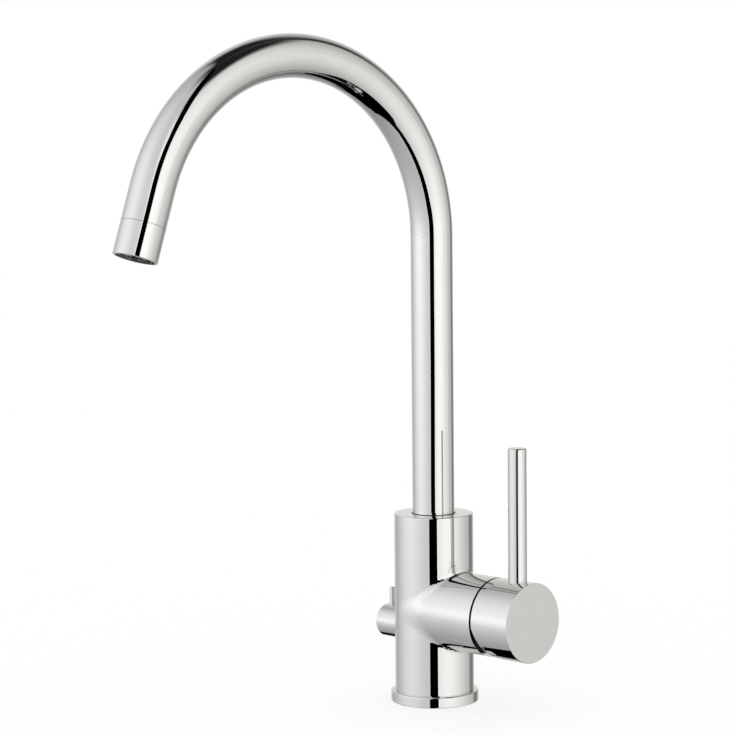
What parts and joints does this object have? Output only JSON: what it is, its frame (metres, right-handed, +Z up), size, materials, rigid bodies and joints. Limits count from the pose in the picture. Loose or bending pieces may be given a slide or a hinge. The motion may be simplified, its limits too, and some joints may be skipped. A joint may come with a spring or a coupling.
{
  "type": "three way kitchen tap",
  "caption": "Chrome kitchen mixer tap with swan-neck swivel spout, side pin lever for hot and cold, and a small side knob for filtered water.",
  "frame": {"origin": "middle of the foot ring's underside, on the worktop", "axes": "+Z up the body, +X along the mixer branch towards its lever, -Y over the sink towards the user"},
  "size_m": [0.1176, 0.2535, 0.3956],
  "materials": {
    "chrome": "polished chrome plate",
    "bare_brass": "machined",
    "bare_steel": "machined stainless steel",
    "black_rubber": "matte",
    "black_plastic": "matte",
    "grey_plastic": "matte",
    "white_plastic": "matte",
    "natural_plastic": "natural polyethylene",
    "ceramic": "lapped alumina"
  },
  "bodies": {
    "tap_body": {"body_casting": "chrome", "base_ring": "chrome", "base_seal": "black_rubber", "inlet_manifold": "bare_brass", "manifold_seal": "black_rubber", "spout_slip_ring": "black_plastic", "spout_thrust_washer": "white_plastic", "spout_grub_screw": "bare_steel", "cartridge_base": "white_plastic", "cartridge_seals": "black_rubber", "cartridge_housing": "white_plastic", "fixed_ceramic_disc": "ceramic", "cartridge_nut": "bare_brass", "dome_ring": "chrome", "filter_valve_body": "bare_brass", "filter_body_o_ring": "black_rubber", "filter_seat_seal": "black_rubber", "filter_fixed_disc": "ceramic"},
    "spout": {"spout_tube": "chrome", "filter_tube": "natural_plastic", "spout_adapter": "bare_brass", "spout_lower_bush": "white_plastic", "spout_o_rings": "black_rubber", "filter_tube_nipple": "bare_brass", "nipple_o_ring": "black_rubber", "spout_nose_insert": "bare_brass", "aerator_housing": "chrome", "aerator_insert": "grey_plastic", "aerator_seal": "black_rubber", "filter_nozzle": "grey_plastic"},
    "carrier": {"cartridge_turret": "grey_plastic", "stem_pin": "bare_steel"},
    "disc_slider": {"moving_ceramic_disc": "ceramic", "disc_coupler": "grey_plastic"},
    "mixer_handle": {"cartridge_stem": "bare_steel", "handle_cap": "chrome", "lever_rod": "chrome", "handle_grub_screw": "bare_steel", "screw_cover": "grey_plastic"},
    "filter_handle": {"filter_moving_disc": "ceramic", "filter_spindle": "bare_brass", "spindle_o_ring": "black_rubber", "filter_knob": "chrome", "filter_pin": "chrome"}
  },
  "joints": [
    {"name": "spout_swivel", "type": "hinge", "parent": "tap_body", "child": "spout", "pos_m": [0, 0, 0.1], "axis": [0, 0, 1], "continuous": true},
    {"name": "temperature_turn", "type": "hinge", "parent": "tap_body", "child": "carrier", "pos_m": [0.041, 0, 0.0562], "axis": [1, 0, 0], "range_deg": [-50, 50]},
    {"name": "flow_tilt", "type": "hinge", "parent": "carrier", "child": "mixer_handle", "pos_m": [0.041, 0, 0.0562], "axis": [0, 1, 0], "range_deg": [0, 15]},
    {"name": "disc_slide", "type": "slide", "parent": "carrier", "child": "disc_slider", "axis": [0, 0, 1], "range_m": [0, 0.0031]},
    {"name": "filter_turn", "type": "hinge", "parent": "tap_body", "child": "filter_handle", "pos_m": [-0.03, 0, 0.0434], "axis": [1, 0, 0], "range_deg": [0, 90]}
  ],
  "couplings": [
    {"joint": "disc_slide", "follows": "flow_tilt", "m_per_rad": 0.01122}
  ]
}
